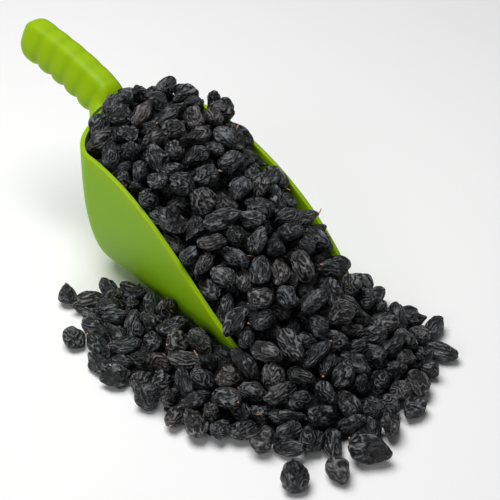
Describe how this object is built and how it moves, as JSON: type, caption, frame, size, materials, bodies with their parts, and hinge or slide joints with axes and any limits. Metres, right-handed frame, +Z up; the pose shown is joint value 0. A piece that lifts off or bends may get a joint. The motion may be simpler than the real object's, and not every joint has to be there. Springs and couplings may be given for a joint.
{
  "type": "scoop of black raisins",
  "caption": "Black raisins heaped in a plastic scoop with a grooved handle, running out over its lip and lying in a fan round its mouth.",
  "frame": {"origin": "on the table, under the middle of the scoop's flat underside at half the length of its trough", "axes": "+Z up, +Y along the trough towards the handle, -Y towards the mouth and the spilled raisins, +X to the right seen from the mouth's side looking up the handle from above with the handle pointing away"},
  "size_m": [0.1578, 0.3, 0.1042],
  "materials": {
    "green_plastic": "satin, slightly translucent yellow-green moulded plastic",
    "raisin_skin": "black wrinkled dried skin with a faint cool bloom"
  },
  "bodies": {
    "root": {"scoop": "green_plastic", "raisins_heaped": "raisin_skin", "raisins_spilled": "raisin_skin", "raisin_01": "raisin_skin", "raisin_02": "raisin_skin", "raisin_03": "raisin_skin", "raisin_04": "raisin_skin", "raisin_05": "raisin_skin", "raisin_06": "raisin_skin"}
  },
  "joints": []
}
